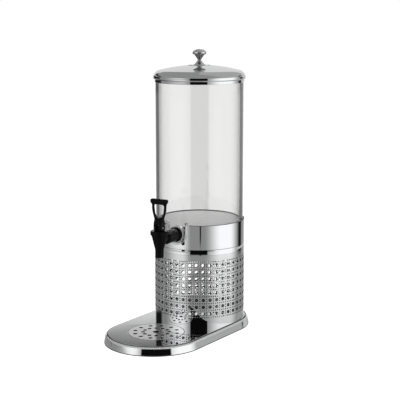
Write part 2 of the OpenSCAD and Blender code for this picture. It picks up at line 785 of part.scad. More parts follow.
module lid_gasket() {
    outer = lid_in - fit_gap;
    depth = lid_round - lid_sheet - fit_gap;
    a0 = acos((outer - round_r0) / depth);
    a1 = acos((outer - lid_seal_w - round_r0) / depth);
    color("whitesmoke") at_tower() turned(concat(
        [[outer - lid_seal_w, tank_top], [outer, tank_top]], arc(round_r0, round_z0, depth, a0, a1, 8)));
}

module lid_knob() {
    steps = 8;
    bevel = 1;
    under = 3;
    brim = 1.5;
    waist_up = knob_waist_share * knob_h;
    cap_up = knob_cap_share * knob_h;
    foot_flare = knob_foot_r - bevel - knob_waist_r;
    cap_flare = knob_cap_r - brim - knob_waist_r;
    color("silver") at_tower() translate([0, 0, lid_top]) difference() {
        turned(concat(
            [[0, 0], [knob_foot_r, 0], [knob_foot_r, bevel]],
            [for (i = [0 : steps]) let (a = 90 * i / steps)
                [knob_waist_r + foot_flare * (1 - sin(a)), bevel + (waist_up - bevel) * (1 - cos(a))]],
            [for (i = [1 : steps]) let (a = 90 * i / steps)
                [knob_waist_r + cap_flare * (1 - cos(a)), waist_up + (cap_up - under - waist_up) * sin(a)]],
            [for (i = [1 : steps]) let (a = 90 * i / steps - 90)
                [knob_cap_r - brim * (1 - cos(a)), cap_up + under * sin(a)]],
            [for (i = [1 : steps]) let (a = 90 * i / steps)
                [knob_cap_r * cos(a), cap_up + (knob_h - cap_up) * sin(a)]]));
        translate([0, 0, -over]) cylinder(r = screw_r, h = knob_tap_depth + over);
    }
}

module knob_washer() {
    color("lightgray") at_tower() translate([0, 0, washer_low]) difference() {
        cylinder(r = 2 * screw_head_r, h = knob_washer_t);
        translate([0, 0, -over]) cylinder(r = knob_hole_r, h = knob_washer_t + 2 * over);
    }
}

module knob_screw() {
    color("gray") at_tower() translate([0, 0, washer_low])
        screw_up(knob_washer_t + lid_sheet + knob_tap_depth - over);
}

base_tray();
rubber_feet();
drip_cup();
drip_grid();
tower_tube();
tower_foot_ring();
tower_screws();
shoulder_ring();
collar_band();
collar_floor();
collar_screws();
notch_trim();
tank_seat();
tank_tube();
tank_floor();
outer_washer();
inner_washer();
shank_nut();
tap_body();
tap_bonnet();
tap_stem();
seat_cup();
stem_spring();
handle_pin();
tap_handle();
lid_shell();
lid_gasket();
lid_knob();
knob_washer();
knob_screw();
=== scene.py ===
"""Looks of a juice dispenser: its pieces, materials, light and camera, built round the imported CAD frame.

Outlines are written in millimetres of radius and height, and become metres in the mesh helpers.
"""

import json
import math

import bmesh
import bpy
import numpy as np
from mathutils import Matrix, Vector, geometry


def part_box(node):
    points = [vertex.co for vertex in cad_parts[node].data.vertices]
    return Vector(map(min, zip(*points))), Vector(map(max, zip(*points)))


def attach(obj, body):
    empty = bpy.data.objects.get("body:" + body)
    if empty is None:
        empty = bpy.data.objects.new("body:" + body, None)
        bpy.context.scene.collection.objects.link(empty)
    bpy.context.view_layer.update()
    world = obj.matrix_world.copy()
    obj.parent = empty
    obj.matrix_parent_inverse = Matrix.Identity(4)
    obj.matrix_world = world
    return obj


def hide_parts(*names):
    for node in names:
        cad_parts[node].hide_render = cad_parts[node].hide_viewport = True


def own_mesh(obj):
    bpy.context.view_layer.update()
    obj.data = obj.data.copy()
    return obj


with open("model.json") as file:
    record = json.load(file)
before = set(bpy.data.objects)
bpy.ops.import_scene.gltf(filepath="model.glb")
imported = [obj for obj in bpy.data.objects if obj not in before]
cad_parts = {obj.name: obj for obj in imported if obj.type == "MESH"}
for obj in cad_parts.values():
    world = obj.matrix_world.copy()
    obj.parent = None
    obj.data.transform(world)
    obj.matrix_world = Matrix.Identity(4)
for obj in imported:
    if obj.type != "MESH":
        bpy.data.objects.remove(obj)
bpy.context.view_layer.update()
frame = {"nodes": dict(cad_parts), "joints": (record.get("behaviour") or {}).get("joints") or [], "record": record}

MM = 0.001
CREASE = math.radians(32)
FILLET_STEP = 15
FINE_STEPS = 192
ROUND_STEPS = 160
SMALL_STEPS = 96
BORE_STEPS = 64
BEAD_STEPS = 40
TINY = 1e-6
WELD_M = 1e-7
VIEW_TURN = math.radians(33.693)


# Directions

def up(height):
    return Vector((0, 0, height))


def bearing(angle):
    """The level direction at an angle to the right of the front."""
    return Vector((math.sin(angle), -math.cos(angle), 0))


def sideways(angle):
    """The level direction to the right of a bearing."""
    return Vector((math.cos(angle), math.sin(angle), 0))


def laid_along(angle):
    """The turn that lays a lathe's axis level, along a bearing."""
    return Matrix((sideways(angle), (0, 0, 1), bearing(angle))).transposed()


# Places and sizes that come from the frame, in millimetres

def low(node):
    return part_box(node)[0] / MM


def high(node):
    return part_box(node)[1] / MM


def middle(node):
    return (low(node) + high(node)) / 2


def reach(node):
    """Half the width of a round node."""
    return (high(node).x - low(node).x) / 2


def joint(name):
    return next(found for found in frame["joints"] if found["name"] == name)


hinge = joint("handle_tilt")
TAP_TURN = math.atan2(hinge["axis"][1], hinge["axis"][0])
TOWER = Vector((middle("tower_tube").x, middle("tower_tube").y, 0))
DRIP = Vector((middle("drip_grid").x, middle("drip_grid").y, 0))
SPOUT = Vector((hinge["pos_m"][0], hinge["pos_m"][1], 0)) / MM
PLATE_Z = high("base_tray").z
DECK_Z = high("collar_floor").z
TANK_LOW = low("tank_tube").z
TANK_TOP = high("tank_tube").z
TAP_Z = middle("outer_washer").z
COLLAR_R = reach("collar_band")
COLLAR_LOW = low("collar_band").z
COLLAR_TOP = high("collar_band").z
TAP_FRONT = bearing(TAP_TURN)
TAP_AXIS = TOWER + up(TAP_Z)


# Outlines

def arc(cx, cy, rx, ry, start, end, steps):
    """Points along a stretch of an ellipse, with its angles in degrees."""
    angles = np.radians(np.linspace(start, end, steps + 1))
    return [(cx + rx * math.cos(a), cy + ry * math.sin(a)) for a in angles]


def rounded(corners):
    """An outline through corners of (x, y, fillet radius), with each fillet as an arc."""
    points = []
    for i, (x, y, fillet) in enumerate(corners):
        here = Vector((x, y))
        if not fillet:
            points.append((x, y))
            continue
        before = (Vector(corners[i - 1][:2]) - here).normalized()
        after = (Vector(corners[(i + 1) % len(corners)][:2]) - here).normalized()
        half = before.angle(after) / 2
        centre = here + (before + after).normalized() * fillet / math.sin(half)
        first = here + before * fillet / math.tan(half) - centre
        last = here + after * fillet / math.tan(half) - centre
        start = math.degrees(math.atan2(first.y, first.x))
        sweep = math.degrees(math.atan2(last.y, last.x)) - start
        sweep = (sweep + 180) % 360 - 180
        steps = max(1, math.ceil(abs(sweep) / FILLET_STEP))
        points += arc(centre.x, centre.y, fillet, fillet, start, start + sweep, steps)
    return points


def band(inner, outer, bottom, top, fillet):
    """The section of a plain ring with equal fillets."""
    corners = ((inner, bottom), (outer, bottom), (outer, top), (inner, top))
    return rounded([(r, z, fillet) for r, z in corners])


# Meshes

def mesh_from(name, points, faces):
    """A smooth mesh with creases, from points in millimetres."""
    mesh = bpy.data.meshes.new(name)
    mesh.from_pydata([Vector(p) * MM for p in points], [], faces)
    tidy = bmesh.new()
    tidy.from_mesh(mesh)
    bmesh.ops.remove_doubles(tidy, verts=tidy.verts, dist=WELD_M)
    bmesh.ops.recalc_face_normals(tidy, faces=tidy.faces)
    tidy.to_mesh(mesh)
    tidy.free()
    mesh.shade_smooth()
    mesh.set_sharp_from_angle(angle=CREASE)
    return mesh


def lathe(name, outline, centre, steps=ROUND_STEPS, turn=None):
    """A closed outline of radius and height, turned round an upright axis, or round turn's own axis."""
    points, rings, faces = [], [], []
    for r, z in outline:
        count = steps if r > TINY else 1
        rings.append([len(points) + k for k in range(count)])
        for k in range(count):
            a = 2 * math.pi * k / steps
            points.append(Vector((r * math.cos(a), r * math.sin(a), z)))
    for ring, after in zip(rings, rings[1:] + rings[:1]):
        for k in range(steps):
            corners = [ring[k % len(ring)], ring[(k + 1) % len(ring)],
                       after[(k + 1) % len(after)], after[k % len(after)]]
            corners = list(dict.fromkeys(corners))
            if len(corners) > 2:
                faces.append(corners)
    place = turn or Matrix.Identity(3)
    return mesh_from(name, [place @ p + centre for p in points], faces)


def bridges(rings, count, closed=False):
    """Quads from each ring of count points to the next, and where closed from the last to the first."""
    faces = []
    for i in range(rings if closed else rings - 1):
        a, b = i * count, (i + 1) % rings * count
        faces += [[a + k, a + (k + 1) % count, b + (k + 1) % count, b + k] for k in range(count)]
    return faces


def gather(points, faces, more_points, more_faces):
    """Adds more points and faces to those of a mesh."""
    faces += [[i + len(points) for i in face] for face in more_faces]
    points += more_points


def swept(name, sections, closed=True):
    """A skin over rings of equally many points, with its two ends filled where it isn't closed."""
    count = len(sections[0])
    points = [p for ring in sections for p in ring]
    faces = bridges(len(sections), count, closed)
    if not closed:
        faces += [list(range(count)), list(range(len(points) - count, len(points)))]
    return mesh_from(name, points, faces)


def filled(outer, holes, z):
    """Flat triangles between an outer loop and the loops of its holes, as points and faces."""
    loops = [outer] + holes
    flat = [Vector(p[:2]) for loop in loops for p in loop]
    edges, start = [], 0
    for loop in loops:
        edges += [(start + k, start + (k + 1) % len(loop)) for k in range(len(loop))]
        start += len(loop)
    found, _, faces, *_ = geometry.delaunay_2d_cdt(flat, edges, [], 0, TINY)

    def inside(spot, loop):
        crossings = 0
        for (x0, y0), (x1, y1) in zip(loop, loop[1:] + loop[:1]):
            if (y0 > spot.y) != (y1 > spot.y):
                crossings += spot.x < x0 + (spot.y - y0) * (x1 - x0) / (y1 - y0)
        return crossings % 2 == 1

    kept = []
    for face in faces:
        spot = sum((found[i] for i in face), Vector((0, 0))) / len(face)
        if inside(spot, outer) and not any(inside(spot, hole) for hole in holes):
            kept.append(list(face))
    return [(p.x, p.y, z) for p in found], kept


def circle(cx, cy, r, count, phase=0.0):
    turns = [phase + 2 * math.pi * k / count for k in range(count)]
    return [(cx + r * math.cos(a), cy + r * math.sin(a)) for a in turns]


def wrapped(name, flat, triangles, centre, radius, sheet, turn=0.0):
    """A flat pattern of arc lengths and heights, rolled into a tube of sheet metal.

    Its faces get the tube's own normals, so that the reflections run on unbroken between holes.
    """
    flat = np.asarray(flat)
    triangles = np.asarray(triangles)
    angle = flat[:, 0] / radius + turn
    radial = np.stack([np.sin(angle), -np.cos(angle), np.zeros(len(angle))], 1)
    lift = np.stack([np.zeros(len(angle)), np.zeros(len(angle)), flat[:, 1]], 1)
    shells = [np.array(centre) + radial * r + lift for r in (radius, radius - sheet)]
    count = len(flat)
    directed = {(t[k], t[(k + 1) % 3]) for t in triangles for k in range(3)}
    rim = sorted((a, b) for a, b in directed if (b, a) not in directed)
    walls = [[b, a, a + count, b + count] for a, b in rim]
    faces = triangles.tolist() + (triangles[:, ::-1] + count).tolist() + walls
    mesh = bpy.data.meshes.new(name)
    mesh.from_pydata(np.concatenate(shells) * MM, [], faces)
    mesh.shade_smooth()
    normals = [radial[i] for t in triangles for i in t]
    normals += [-radial[i] for t in triangles for i in t[::-1]]
    for a, b in rim:
        across = np.cross(shells[0][a] - shells[0][b], shells[1][a] - shells[0][a])
        normals += [across / np.linalg.norm(across)] * 4
    mesh.normals_split_custom_set([tuple(n) for n in normals])
    return mesh


def combined(name, base, tool, operation):
    """One mesh from two by a boolean."""
    first = bpy.data.objects.new(name, base)
    second = bpy.data.objects.new(name + "_tool", tool)
    for made in (first, second):
        bpy.context.scene.collection.objects.link(made)
    step = first.modifiers.new("cut", "BOOLEAN")
    step.operation = operation
    step.object = second
    step.solver = "EXACT"
    bpy.context.view_layer.update()
    cut = first.evaluated_get(bpy.context.evaluated_depsgraph_get())
    result = bpy.data.meshes.new_from_object(cut)
    for made in (first, second):
        bpy.data.objects.remove(made)
    return result


# Materials

class Nodes:
    """Short ways to lay shader nodes."""

    def __init__(self, tree):
        self.tree = tree
        tree.nodes.clear()

    def add(self, kind, **settings):
        node = self.tree.nodes.new("ShaderNode" + kind)
        for key, value in settings.items():
            setattr(node, key, value)
        return node

    def feed(self, socket, value):
        if isinstance(value, bpy.types.NodeSocket):
            self.tree.links.new(value, socket)
        else:
            socket.default_value = value

    def math(self, operation, *values):
        node = self.add("Math", operation=operation)
        for socket, value in zip(node.inputs, values):
            self.feed(socket, value)
        return node.outputs[0]

    def ramp(self, value, x0, x1, y0, y1):
        """A smooth change from y0 to y1 while the value goes from x0 to x1."""
        node = self.add("MapRange", interpolation_type="SMOOTHSTEP")
        for socket, number in zip(node.inputs, (value, x0, x1, y0, y1)):
            self.feed(socket, number)
        return node.outputs[0]

    def noise(self, scale, detail=3.0, stretch=(1, 1, 1)):
        place = self.add("TexCoord").outputs["Object"]
        mapping = self.add("Mapping")
        self.feed(mapping.inputs["Vector"], place)
        mapping.inputs["Scale"].default_value = stretch
        node = self.add("TexNoise")
        self.feed(node.inputs["Vector"], mapping.outputs[0])
        node.inputs["Scale"].default_value = scale
        node.inputs["Detail"].default_value = detail
        return node.outputs["Fac"]

    def bump(self, height, strength, distance):
        node = self.add("Bump")
        node.inputs["Strength"].default_value = strength
        node.inputs["Distance"].default_value = distance
        self.feed(node.inputs["Height"], height)
        return node.outputs[0]


def surface(name, colour, finish, **sockets):
    """A material from a principled shader whose finish function lays the texture nodes."""
    material = bpy.data.materials.new(name)
    material.use_nodes = True
    nodes = Nodes(material.node_tree)
    shader = nodes.add("BsdfPrincipled")
    shader.inputs["Base Color"].default_value = (*colour, 1)
    for key, value in sockets.items():
        shader.inputs[key.replace("_", " ")].default_value = value
    finish(nodes, shader.inputs)
    nodes.feed(nodes.add("OutputMaterial").inputs["Surface"], shader.outputs[0])
    return material


NOISE_LOW = 0.3
NOISE_HIGH = 0.7


def uneven(nodes, inputs, noise, smoothest, roughest):
    """Roughness that follows a noise between two values."""
    nodes.feed(inputs["Roughness"], nodes.ramp(noise, NOISE_LOW, NOISE_HIGH, smoothest, roughest))


def polish(nodes, inputs):
    """Mirror polish with faint smears, hairlines and a trace of waviness."""
    smears = nodes.ramp(nodes.noise(14), 0.35, 0.75, 0.015, 0.05)
    hairs = nodes.ramp(nodes.noise(420, detail=1.0, stretch=(1, 1, 0.04)), 0.62, 0.8, 0.0, 0.04)
    nodes.feed(inputs["Roughness"], nodes.math("ADD", smears, hairs))
    waves = nodes.noise(9, detail=1.0)
    nodes.feed(inputs["Normal"], nodes.bump(waves, strength=0.04, distance=0.002))


def satin(nodes, inputs):
    """Satin steel with fine brush marks."""
    grain = nodes.noise(300, detail=2.0, stretch=(1, 1, 12))
    uneven(nodes, inputs, grain, 0.22, 0.38)
    nodes.feed(inputs["Normal"], nodes.bump(grain, strength=0.06, distance=0.0005))


def smeared(nodes, inputs):
    """Steel rough enough to smear its reflections a little, for the painted sheen on the base's rim."""
    uneven(nodes, inputs, nodes.noise(220, detail=2.0), 0.24, 0.32)


def lapped(nodes, inputs):
    """Steel lapped nearly to a mirror."""
    uneven(nodes, inputs, nodes.noise(220, detail=2.0), 0.08, 0.14)


def clear(nodes, inputs):
    """Clear plastic with a few faint rub marks."""
    nodes.feed(inputs["Roughness"], nodes.ramp(nodes.noise(30, detail=4.0), 0.55, 0.8, 0.0, 0.03))


def dull(nodes, inputs):
    """A dull skin, as on silicone."""
    uneven(nodes, inputs, nodes.noise(160), 0.3, 0.45)
    nodes.feed(inputs["Normal"], nodes.bump(nodes.noise(700), strength=0.05, distance=0.0005))


def moulded(nodes, inputs):
    """Moulded plastic with a fine eroded skin."""
    uneven(nodes, inputs, nodes.noise(55), 0.12, 0.24)
    skin = nodes.noise(900, detail=2.0)
    nodes.feed(inputs["Normal"], nodes.bump(skin, strength=0.1, distance=0.0004))


def matt(nodes, inputs):
    """Rubber with a matt, slightly uneven skin."""
    uneven(nodes, inputs, nodes.noise(80), 0.6, 0.8)
    nodes.feed(inputs["Normal"], nodes.bump(nodes.noise(500), strength=0.2, distance=0.0005))


def paper(nodes, inputs):
    """Studio paper."""
    uneven(nodes, inputs, nodes.noise(3), 0.85, 0.95)


MATERIALS = {
    "polished_steel": surface("polished_steel", (0.76, 0.765, 0.77), polish, Metallic=1.0),
    "satin_steel": surface("satin_steel", (0.6, 0.6, 0.61), satin, Metallic=1.0),
    "clear_tank": surface("clear_tank", (0.985, 0.982, 0.98), clear, Transmission_Weight=1.0, IOR=1.49),
    "clear_silicone": surface("clear_silicone", (0.62, 0.63, 0.63), dull,
                              Transmission_Weight=0.5, IOR=1.41),
    "black_plastic": surface("black_plastic", (0.002, 0.002, 0.0022), moulded, Specular_IOR_Level=0.06),
    "black_rubber": surface("black_rubber", (0.02, 0.02, 0.02), matt),
}
LAPPED_STEEL = surface("lapped_steel", (0.9, 0.9, 0.905), lapped, Metallic=0.85)
# Painted sheen: brighter, rougher steel for the rim's faces that look towards the camera.
SHEEN_PAINTED_RIM = surface("sheen_painted_rim", (0.86, 0.86, 0.865), smeared, Metallic=0.8)
# Painted shade: darker steel for the knob's faces that look down.
SHADE_PAINTED_STEEL = surface("shade_painted_steel", (0.36, 0.36, 0.37), polish, Metallic=1.0)
PALE_INSIDE = surface("pale_inside", (0.95, 0.95, 0.95), dull, Metallic=0.2)
# Painted shade: near-black for hole walls, the tower's inside and the well's wall.
SHADE_PAINTED_INSIDE = surface("shade_painted_inside", (0.05, 0.05, 0.05), dull, Metallic=0.5)


def piece(name, mesh, body, slot, *nodes, material=None):
    """A piece of the object that rides on a body and stands for CAD nodes."""
    made = bpy.data.objects.new(name, mesh)
    bpy.context.scene.collection.objects.link(made)
    mesh.materials.clear()
    mesh.materials.append(material or MATERIALS[slot])
    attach(made, body)
    if nodes:
        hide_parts(*nodes)
    return made


def turned(name, outline, centre, *kind, steps=ROUND_STEPS):
    """A piece made on the lathe, of a kind as piece takes it: body, slot and CAD nodes."""
    return piece(name, lathe(name, outline, centre, steps), *kind)


def even_shading(made):
    """Normals that follow the large faces, so that flats mirror as flats."""
    step = made.modifiers.new("normals", "WEIGHTED_NORMAL")
    step.keep_sharp = True


def refinish(made, material, chosen):
    """Another finish for the faces that a test chooses."""
    index = len(made.data.materials)
    made.data.materials.append(material)
    for face in made.data.polygons:
        if chosen(face):
            face.material_index = index


def outward(face):
    """How far a face of a rolled sheet looks away from the tower's axis, from -1 to 1."""
    out = (face.center / MM - TOWER).xy
    return out.dot(face.normal.xy) / out.length


# Base

BASE_R = reach("base_tray")
ARC_Y = high("base_tray").y - BASE_R
BASE_END_STEPS = 72
BASE_SHEET = 1.2
SKIRT_FLARE = 3.2
SKIRT_R = BASE_R - SKIRT_FLARE
SKIRT_LOW = low("base_tray").z
EDGE_STEP = 1.2
SKIRT_TOP = PLATE_Z - EDGE_STEP
RIM_W = 4.4
PLATE_R = SKIRT_R - RIM_W
SHEEN_FROM = 6.0
SHEEN_TILT = (0.25, 0.97)
SHEEN_FACING = 0.1
WELL_R = reach("drip_grid") + 0.5
WELL_EDGE = 1.2
WELL_LEDGE = 5.0
WELL_STEPS = 128
CUP_SHEET = 1.0


def stadium(r, z):
    """A ring with round ends at an offset from the base's two centres."""
    ring = []
    for side, start in ((1, 0), (-1, math.pi)):
        for k in range(BASE_END_STEPS + 1):
            a = start + math.pi * k / BASE_END_STEPS
            ring.append((r * math.cos(a), side * ARC_Y + r * math.sin(a), z))
    return ring


def on_painted_sheen_face(face):
    """Whether a face is on the rounding of the skirt's top, on the sides towards the camera, where a brighter
    sheen is painted.
    """
    on_rim = SKIRT_LOW + SHEEN_FROM < face.center.z / MM < SKIRT_TOP
    tilted = SHEEN_TILT[0] < face.normal.z < SHEEN_TILT[1]
    return on_rim and tilted and face.normal.dot(bearing(VIEW_TURN)) > SHEEN_FACING


def in_well(face):
    """Whether a face is on the wall of the well round the drip plate."""
    spot = face.center / MM
    return (spot - DRIP).xy.length < WELL_R + WELL_EDGE and spot.z < PLATE_Z - WELL_EDGE / 3


def build_base():
    under = PLATE_Z - BASE_SHEET
    inner_top = SKIRT_TOP - BASE_SHEET
    border = 4.0
    plate_fillet, groove_fillet, shoulder_fillet, hem_fillet = 0.6, 0.15, 3.8, 0.3
    inner_shoulder, inner_groove = 2.6, 0.2
    profile = rounded([
        (PLATE_R - border, PLATE_Z, 0), (PLATE_R - EDGE_STEP / 4, PLATE_Z, plate_fillet),
        (PLATE_R, SKIRT_TOP, groove_fillet), (SKIRT_R, SKIRT_TOP, shoulder_fillet),
        (BASE_R, SKIRT_LOW, hem_fillet), (BASE_R - BASE_SHEET, SKIRT_LOW, hem_fillet),
        (SKIRT_R - BASE_SHEET, inner_top, inner_shoulder), (PLATE_R - BASE_SHEET, inner_top, inner_groove),
        (PLATE_R - BASE_SHEET, under, hem_fillet), (PLATE_R - border, under, 0)])
    rings = [stadium(r, z) for r, z in profile]
    points, faces = [], []
    gather(points, faces, [p for ring in rings for p in ring], bridges(len(rings), len(rings[0])))
    ledge_z = low("drip_grid").z - CUP_SHEET
    ledge_in = WELL_R - WELL_LEDGE
    outer_r = WELL_R + WELL_EDGE + BASE_SHEET
    well = arc(WELL_R + WELL_EDGE, PLATE_Z - WELL_EDGE, WELL_EDGE, WELL_EDGE, 90, 180, 6)
    well += [(WELL_R, ledge_z), (ledge_in, ledge_z), (ledge_in, ledge_z - BASE_SHEET),
             (outer_r, ledge_z - BASE_SHEET), (outer_r, under)]
    circles = [[(x, y, z) for x, y in circle(DRIP.x, DRIP.y, r, WELL_STEPS)] for r, z in well]
    gather(points, faces, [p for ring in circles for p in ring], bridges(len(circles), WELL_STEPS))
    for z, edge, hole_r in ((PLATE_Z, rings[0], well[0][0]), (under, rings[-1], outer_r)):
        hole = circle(DRIP.x, DRIP.y, hole_r, WELL_STEPS)
        gather(points, faces, *filled([p[:2] for p in edge], [hole], z))
    base = piece("base", mesh_from("base", points, faces), "stand", "polished_steel", "base_tray")
    # Painted sheen on the rim's faces towards the camera.
    refinish(base, SHEEN_PAINTED_RIM, on_painted_sheen_face)
    # Painted shade: the well's wall round the drip plate in near-black.
    refinish(base, SHADE_PAINTED_INSIDE, in_well)
    even_shading(base)


def build_plate_shadow_line():
    """A black ring round the top plate, as painted shadow along the step at the plate's edge."""
    width, height, fillet = 1.5, 0.7, 0.25
    tuck_in, tuck_down = 0.3, 0.2
    inner, outer = PLATE_R - tuck_in, PLATE_R + width
    bottom, top = SKIRT_TOP - tuck_down, SKIRT_TOP + height
    section = rounded([(inner, bottom, 0), (outer, bottom, 0), (outer, top, fillet), (inner, top, 0)])
    rings = list(zip(*(stadium(r, z) for r, z in section)))
    piece("plate_shadow_line", swept("plate_shadow_line", rings), "stand", "black_rubber")


def build_drip_plate():
    bottom, top = low("drip_grid").z, high("drip_grid").z
    finger_r, finger_steps = 6.25, 40
    drain_r, drain_steps = 3.9, 24
    inner_ring, outer_ring, ring_count, phase = 24.5, 40.5, 12, math.radians(21)
    bevel, wall_tilt = 0.25, 0.5
    holes = [circle(DRIP.x, DRIP.y, finger_r, finger_steps)]
    for ring, start in ((outer_ring, phase), (inner_ring, phase + math.pi / ring_count)):
        spots = circle(DRIP.x, DRIP.y, ring, ring_count, start)
        holes += [circle(x, y, drain_r, drain_steps) for x, y in spots]
    edge = circle(DRIP.x, DRIP.y, reach("drip_grid"), WELL_STEPS)
    points, faces = [], []
    for z in (bottom, top):
        gather(points, faces, *filled(edge, holes, z))
    for loop in [edge] + holes:
        walls = [(x, y, z) for z in (bottom, top) for x, y in loop]
        gather(points, faces, walls, bridges(2, len(loop)))
    mesh = mesh_from("drip_plate", points, faces)
    made = piece("drip_plate", mesh, "drip_grid", "satin_steel", "drip_grid", material=LAPPED_STEEL)
    # Painted shade: the walls of the holes and of the edge in near-black.
    refinish(made, SHADE_PAINTED_INSIDE, lambda face: abs(face.normal.z) < wall_tilt)
    edges = made.modifiers.new("edges", "BEVEL")
    edges.width = bevel * MM
    edges.segments = 2
    even_shading(made)


def build_drip_bowl():
    bottom, top, edge_r = low("drip_cup").z, low("drip_grid").z, reach("drip_cup")
    gap, slope, bend = 0.5, 4.0, 2.5
    edge_fillet, lip_fillet = 0.3, 0.9
    wall_r = WELL_R - WELL_LEDGE - gap
    foot_r = wall_r - slope
    ledge_z = top - CUP_SHEET
    outline = rounded([
        (0, bottom, 0), (foot_r, bottom, bend), (wall_r, ledge_z, edge_fillet),
        (edge_r, ledge_z, edge_fillet), (edge_r, top, edge_fillet), (wall_r - CUP_SHEET, top, lip_fillet),
        (foot_r - CUP_SHEET, bottom + CUP_SHEET, bend - CUP_SHEET), (0, bottom + CUP_SHEET, 0)])
    even_shading(turned("drip_bowl", outline, DRIP, "drip_cup", "black_plastic", "drip_cup"))


# Tower and collar

TOWER_SHEET = 1.0
HOLE_COLUMNS = 42
HOLE_ROWS = 8
HOLE_R = 3.5
HOLE_STEPS = 24
DOT_R = 1.4
DOT_STEPS = 10
ROW_PITCH = 13.6
FIRST_ROW = 24.3
EDGE_PARTS = 6
FLANGE_IN = 66.0


def tile(width, height, holes):
    """Triangles of one cell of the pattern, with its edges parted evenly to meet its neighbours'."""
    parts = max(2, round(EDGE_PARTS * height / ROW_PITCH))
    edge = [(width * k / EDGE_PARTS, 0) for k in range(EDGE_PARTS)]
    edge += [(width, height * k / parts) for k in range(parts)]
    edge += [(width * (1 - k / EDGE_PARTS), height) for k in range(EDGE_PARTS)]
    edge += [(0, height * (1 - k / parts)) for k in range(parts)]
    return filled(edge, [circle(x, y, r, count) for x, y, r, count in holes], 0)


def build_tower():
    """A rolled tube of square cells, each with a large hole and with dots along two of its borders."""
    radius = reach("tower_tube")
    bottom, top = low("tower_tube").z, high("tower_tube").z
    width = 2 * math.pi * radius / HOLE_COLUMNS
    third_w, third_h = width / 3, ROW_PITCH / 3
    half_dot = 1 / 6
    dots = [(third_w * (i + 0.5), third_h / 2, DOT_R, DOT_STEPS) for i in range(3)]
    dots_up = [(third_w / 2, third_h * (j + 0.5), DOT_R, DOT_STEPS) for j in (1, 2)]
    cell = tile(width, ROW_PITCH, dots + dots_up + [(2 * third_w, 2 * third_h, HOLE_R, HOLE_STEPS)])
    cap = tile(width, third_h, dots)
    grid_low = PLATE_Z + FIRST_ROW - 2 * third_h
    grid_top = grid_low + HOLE_ROWS * ROW_PITCH + third_h
    points, known, triangles = [], {}, []
    fine = 1e4

    def spot(u, z):
        """The number of the point at a place, the same one where two cells meet."""
        key = (round(u * fine) % round(fine * 2 * math.pi * radius), round(z * fine))
        if key not in known:
            known[key] = len(points)
            points.append((u, z))
        return known[key]

    for column in range(HOLE_COLUMNS):
        left = (column - half_dot) * width
        rows = [(cell, grid_low + row * ROW_PITCH) for row in range(HOLE_ROWS)]
        for (corners, faces), z in rows + [(cap, grid_top - third_h)]:
            ids = [spot(left + x, z + y) for x, y, _ in corners]
            triangles += [[ids[i] for i in face] for face in faces]
        for k in range(EDGE_PARTS):
            u0, u1 = left + width * k / EDGE_PARTS, left + width * (k + 1) / EDGE_PARTS
            for z0, z1 in ((bottom, grid_low), (grid_top, top)):
                a, b, c, d = spot(u0, z0), spot(u1, z0), spot(u1, z1), spot(u0, z1)
                triangles += [[a, b, c], [a, c, d]]
    mesh = wrapped("tower", points, triangles, TOWER, radius, TOWER_SHEET)
    tower = piece("tower", mesh, "stand", "polished_steel", "tower_tube")
    # Painted shade: the tube's inside and its hole walls in near-black.
    refinish(tower, SHADE_PAINTED_INSIDE, lambda face: outward(face) < 0.5)


def build_shoulder():
    bottom, top, radius = low("shoulder_ring").z, high("shoulder_ring").z, reach("shoulder_ring")
    tower_top = high("tower_tube").z
    spigot_r, wall, flange_t, lean = radius - 1.05, 2.0, 2.0, 1.4
    gap, edge_in, bend_from = 0.02, 0.25, 0.3
    outline = [(spigot_r - wall, bottom), (spigot_r, bottom), (spigot_r, tower_top + gap),
               (radius - edge_in, tower_top + gap)]
    outline += arc(radius - lean, tower_top + bend_from, lean, top - tower_top - bend_from, 0, 90, 14)
    outline += [(FLANGE_IN, top), (FLANGE_IN, top - flange_t), (spigot_r - wall, top - flange_t)]
    even_shading(turned("shoulder", outline, TOWER, "stand", "polished_steel", "shoulder_ring"))
    # A thin black ring at the top of the shoulder, as painted shadow of the gap where the collar stands.
    line_h, line_in, fillet = 0.9, 0.4, 0.2
    shadow_line = rounded([(radius - lean, top - line_h, 0), (radius - line_in, top - line_h, fillet),
                    (radius - line_in, top, fillet), (radius - lean, top, 0)])
    turned("shoulder_shadow_line", shadow_line, TOWER, "stand", "black_rubber")


COLLAR_SHEET = 1.0
COLLAR_HALF_STEPS = 90
NOTCH_R = 18.9
NOTCH_STEPS = 24
TRIM_STEPS = 40
TRIM_IN = 1.9
TRIM_OUT = 1.9
TRIM_T = 1.7
BEAD_R = 3.8
BEAD_X = NOTCH_R - TRIM_IN + BEAD_R
LAP = 0.1


def on_collar(angle, out, z):
    """The point at a bearing and height, and at a distance out from the collar's face."""
    return TOWER + bearing(angle) * (COLLAR_R + out) + up(z)


def notch_path(r, steps):
    """Sideways place, height and outward direction along a U at a radius round the tap, from leg to leg."""
    path = [(r, COLLAR_TOP, 1, 0), (r, (COLLAR_TOP + TAP_Z) / 2, 1, 0)]
    for k in range(steps + 1):
        a = -math.pi * k / steps
        path.append((r * math.cos(a), TAP_Z + r * math.sin(a), math.cos(a), math.sin(a)))
    return path + [(-x, z, -dx, dz) for x, z, dx, dz in reversed(path[:2])]


def build_collar():
    beside_notch = 0.5
    half = math.pi * COLLAR_R
    columns = [half * (k / COLLAR_HALF_STEPS - 1) for k in range(2 * COLLAR_HALF_STEPS + 1)]
    notch = [(COLLAR_R * math.asin(x / COLLAR_R), z) for x, z, _, _ in notch_path(NOTCH_R, NOTCH_STEPS)]
    clear_of = notch[0][0] + beside_notch
    right = [(u, COLLAR_TOP) for u in reversed(columns) if u > clear_of]
    left = [(u, COLLAR_TOP) for u in reversed(columns) if u < -clear_of]
    outline = [(u, COLLAR_LOW) for u in columns] + right + notch + left
    corners, faces = filled(outline, [], 0)
    flat = [(u, z) for u, z, _ in corners]
    mesh = wrapped("collar", flat, faces, TOWER, COLLAR_R, COLLAR_SHEET, TAP_TURN)
    collar = piece("collar", mesh, "stand", "polished_steel", "collar_band")
    refinish(collar, PALE_INSIDE, lambda face: outward(face) < -0.5)


